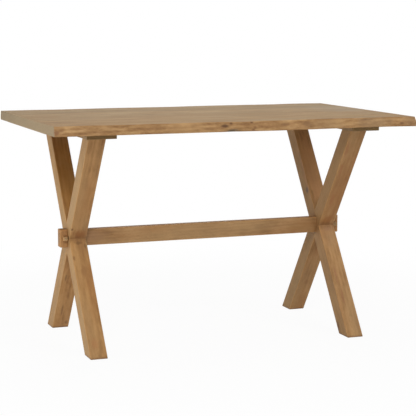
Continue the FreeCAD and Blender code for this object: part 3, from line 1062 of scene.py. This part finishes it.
def makeLivePlank(node, face, seed, marks):
    low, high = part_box(node)
    thick = high.z - low.z
    inner = min(abs(low.y), abs(high.y))
    stations, levels, flats = stationsAlong(low, high), levelsUp(thick), liveEdge["flats"]
    margin, arris, endDepth = liveEdge["probeMargin"], liveEdge["arris"], liveEdge["endSteps"][-1]

    def solidReach(x, level):
        # how far the solid's natural edge stands from the table's middle line
        x = clamped(x, low.x + margin, high.x - margin)
        z = low.z + clamped(level, margin, thick - margin)
        start = Vector((x, face * liveEdge["probeFrom"], z))
        return abs(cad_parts[node].ray_cast(start, Vector((0, -face, 0)))[1].y)

    # a grid rolled into a tube: under the board, up the natural edge and back over the top
    ringSize = len(levels) + 2 * len(flats)
    bm = bmesh.new()
    bmesh.ops.create_grid(bm, x_segments=len(stations) - 1, y_segments=ringSize, size=1)
    raw = bm.verts.layers.float.new("rawEdge")
    sections = [[solidReach(x, level) for level in levels] for x in stations]
    for vert in bm.verts:
        station = round((vert.co.x + 1) / 2 * (len(stations) - 1))
        ring = round((vert.co.y + 1) / 2 * ringSize) % ringSize
        x, edge = stations[station], sections[station]
        spot = ring - len(flats)
        onEdge = 0 <= spot < len(levels)
        # a round ease at both ends of the board
        back = endDepth - min(x - low.x, high.x - x, endDepth)
        pull = endDepth - math.sqrt(endDepth ** 2 - back ** 2)
        if onEdge:
            level = levels[spot]
            reach = edge[spot] - arrisInset(min(level, thick - level), arris) - pull
            reach += rippleAt(x, level, seed)
            if face < 0:
                reach += frontForm(x, level, thick, high.x)
        elif spot < 0:
            level, reach = 0.0, inner + (edge[0] - arris - inner) * flats[ring]
        else:
            level, reach = thick, inner + (edge[-1] - arris - inner) * flats[ringSize - 1 - ring]
        vert.co = (x, face * reach, low.z + level + pull * (1 - 2 * level / thick))
        vert[raw] = float(onEdge)
    bmesh.ops.remove_doubles(bm, verts=bm.verts, dist=weld)
    bmesh.ops.holes_fill(bm, edges=[e for e in bm.edges if e.is_boundary], sides=0)
    finish = woodFinish(
        f"{node}_wood", topToneAndSheen(low, high, 1.0), (low + high) / 2, grainTurn((1, 0, 0), (0, 1, 0)),
        ((high.x - low.x) / 2, boundless, boundless), seed, marks, rawEdge=True,
    )
    name = f"{node.split('_')[0]}LivePlank"
    finishPiece(bm, name, node, finish, liveEdge["sharpAngle"])


for number in range(1, 6):
    makePlank(number, 20.0 + number)
makeLivePlank("front_live_edge_plank", -1, 31.0, frontMarks)
makeLivePlank("rear_live_edge_plank", 1, 34.0, rearMarks)
print("top planks shaped")


# fasteners and glides

metalSkin = {
    "film": ((160.0, 160.0, 160.0), 3.0, 0.5), "filmRange": (0.4, 0.7),
    "scratch": ((2200.0, 900.0, 300.0), 2.0, 0.5), "bump": 0.12, "bumpReach": 0.0002,
    "roughRange": (0.3, 0.7), "smoother": 0.08, "rougher": 0.14,
}
zincSteel = {
    "name": "zinc_steel", "rough": 0.38,
    "bright": (0.46, 0.46, 0.45), "dull": (0.33, 0.33, 0.32),
}
turnedBrass = {
    "name": "turned_brass", "rough": 0.32,
    "bright": (0.66, 0.47, 0.21), "dull": (0.50, 0.34, 0.15),
}


def metalFinish(look):
    finish, tree, shader = newFinish(look["name"])
    place = objectPlace(tree)
    film = cloud(tree, place, *metalSkin["film"])
    colour = mixed(tree, between(tree, film, *metalSkin["filmRange"]), look["bright"], look["dull"])
    tree.links.new(colour, shader.inputs["Base Color"])
    shader.inputs["Metallic"].default_value = 1.0
    smooth, rough = look["rough"] - metalSkin["smoother"], look["rough"] + metalSkin["rougher"]
    tree.links.new(between(tree, film, *metalSkin["roughRange"], smooth, rough), shader.inputs["Roughness"])
    scratch = cloud(tree, place, *metalSkin["scratch"])
    roughen(tree, shader, scratch, metalSkin["bump"], metalSkin["bumpReach"])
    return finish


glideSkin = {
    "scuff": ((90.0, 260.0, 90.0), 3.0, 0.5), "scuffRange": (0.55, 0.75),
    "colour": (0.035, 0.030, 0.027), "scuffed": (0.085, 0.078, 0.070),
    "roughRange": (0.3, 0.7, 0.42, 0.68),
    "speckle": ((900.0, 900.0, 900.0), 2.0, 0.5), "bump": 0.2, "bumpReach": 0.0002,
}


def glideFinish():
    finish, tree, shader = newFinish("glide_plastic")
    place = objectPlace(tree)
    scuff = cloud(tree, place, *glideSkin["scuff"])
    share = between(tree, scuff, *glideSkin["scuffRange"])
    colour = mixed(tree, share, glideSkin["colour"], glideSkin["scuffed"])
    tree.links.new(colour, shader.inputs["Base Color"])
    tree.links.new(between(tree, scuff, *glideSkin["roughRange"]), shader.inputs["Roughness"])
    speckle = cloud(tree, place, *glideSkin["speckle"])
    roughen(tree, shader, speckle, glideSkin["bump"], glideSkin["bumpReach"])
    return finish


def turned(bm, profile, middle, steps):
    # spins a closed outline of (radius, height) points about the upright through the middle
    verts = [bm.verts.new((middle.x + radius, middle.y, height)) for radius, height in profile]
    ring = [bm.edges.new(pair) for pair in zip(verts, verts[1:] + verts[:1])]
    bmesh.ops.spin(
        bm, geom=verts + ring, cent=(middle.x, middle.y, 0), axis=(0, 0, 1),
        angle=2 * math.pi, steps=steps, use_merge=True,
    )


def radiiOf(node, above):
    # how far the node's points above a height lie from the upright through their own copy
    middles = [middle.xy for middle, size in placesOf(node)]
    points = [vert.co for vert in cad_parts[node].data.vertices if vert.co.z > above]
    return [min((point.xy - middle).length for middle in middles) for point in points]


def stepFace(bm, face, middle, factor, rise):
    # extrudes a level face, drawn in about the upright through the middle
    ring, step = extruded(bm, [face])
    bmesh.ops.scale(bm, vec=(factor, factor, 1), space=Matrix.Translation(-middle), verts=ring)
    bmesh.ops.translate(bm, vec=(0, 0, rise), verts=ring)
    dropFaces(bm, [face])
    return step[0]


boltShape = {
    "sides": 24, "rim": 0.0014, "rimSteps": 3,
    "socket": 0.002, "socketSides": 6, "socketDepth": 0.0022,     # socket is half its width across flats
}


def cutSocket(bm, under, middle, head):
    mouth = stepFace(bm, under, middle, boltShape["socket"] / head, 0.0)
    flat = 2 * math.pi / boltShape["socketSides"]
    for vert in mouth.verts:
        out = (vert.co - middle).xy
        turn = (math.atan2(out.y, out.x) + flat / 2) % flat - flat / 2      # from the middle of its flat
        vert.co.xy = middle.xy + out.normalized() * boltShape["socket"] / math.cos(turn)
    floor = stepFace(bm, mouth, middle, 1.0, boltShape["socketDepth"])
    bmesh.ops.poke(bm, faces=[floor])


def makeBolts(finish):
    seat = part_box("top_washers")[0].z
    low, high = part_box("top_bolts")
    shank = max(radiiOf("top_bolts", seat + boltShape["rim"]))
    bm = bmesh.new()
    for middle, size in placesOf("top_bolts"):
        head = size.x / 2
        verts = bmesh.ops.create_cone(
            bm, cap_ends=True, segments=boltShape["sides"], radius1=head, radius2=head, depth=seat - low.z,
            matrix=Matrix.Translation((middle.x, middle.y, (seat + low.z) / 2)),
        )["verts"]
        faces = {f for v in verts for f in v.link_faces}
        top = max(faces, key=lambda f: f.calc_center_median().z)
        under = min(faces, key=lambda f: f.calc_center_median().z)
        top = stepFace(bm, top, middle, shank / head, 0.0)
        stepFace(bm, top, middle, 1.0, high.z - seat)
        cutSocket(bm, under, middle, head)
        rim = [
            e for e in bm.edges
            if all(v.co.z < low.z + hair and abs((v.co - middle).xy.length - head) < hair for v in e.verts)
        ]
        ease(bm, rim, boltShape["rim"], boltShape["rimSteps"])
    finishPiece(bm, "topBolts", "top_bolts", finish)


washerShape = {"steps": 32, "soften": 0.0003}


def makeWashers(finish):
    low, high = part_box("top_washers")
    soft = washerShape["soften"]
    inner = min(radiiOf("top_washers", low.z - soft))
    bm = bmesh.new()
    for middle, size in placesOf("top_washers"):
        outer = size.x / 2
        profile = [
            (inner, low.z), (outer - soft, low.z), (outer, low.z + soft),
            (outer, high.z - soft), (outer - soft, high.z), (inner, high.z),
        ]
        turned(bm, profile, middle, washerShape["steps"])
    finishPiece(bm, "topWashers", "top_washers", finish)


glideShape = {
    "steps": 48, "apart": 0.05,
    "disc": 0.0025, "nail": 0.0015, "point": 0.003,      # disc height, nail radius and point length
    "dimple": 0.0045, "dimpleFloor": 0.0036, "dimpleDepth": 0.0004,
    "tread": 0.00176, "rimIn": 0.00056, "rimUp": 0.00024, "rim": 0.0008,   # the disc's rounded lower rim
}


def makeGlides(finish):
    low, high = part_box("foot_glides")
    shape = glideShape
    bm = bmesh.new()
    for middle, size in placesOf("foot_glides", shape["apart"]):
        outer = size.x / 2
        profile = [
            (0.0, low.z + shape["dimpleDepth"]), (shape["dimpleFloor"], low.z + shape["dimpleDepth"]),
            (shape["dimple"], low.z), (outer - shape["tread"], low.z),
            (outer - shape["rimIn"], low.z + shape["rimUp"]), (outer, low.z + shape["rim"]),
            (outer, low.z + shape["disc"]), (shape["nail"], low.z + shape["disc"]),
            (shape["nail"], high.z - shape["point"]), (0.0, high.z),
        ]
        turned(bm, profile, middle, shape["steps"])
    finishPiece(bm, "footGlides", "foot_glides", finish)


def coatNode(node, finish):
    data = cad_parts[node].data
    data.materials.clear()
    data.materials.append(finish)


steel = metalFinish(zincSteel)
makeBolts(steel)
makeWashers(steel)
makeGlides(glideFinish())
coatNode("leg_screws", steel)
coatNode("top_inserts", metalFinish(turnedBrass))
dowelMiddle = sum(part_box("leg_dowels"), Vector()) / 2
coatNode("leg_dowels", woodFinish(
    "dowel_wood", dowelWood, dowelMiddle, grainTurn((0, 0, 1), (1, 0, 0)), [boundless] * 3, 17.0,
))
print("fasteners and glides shaped")
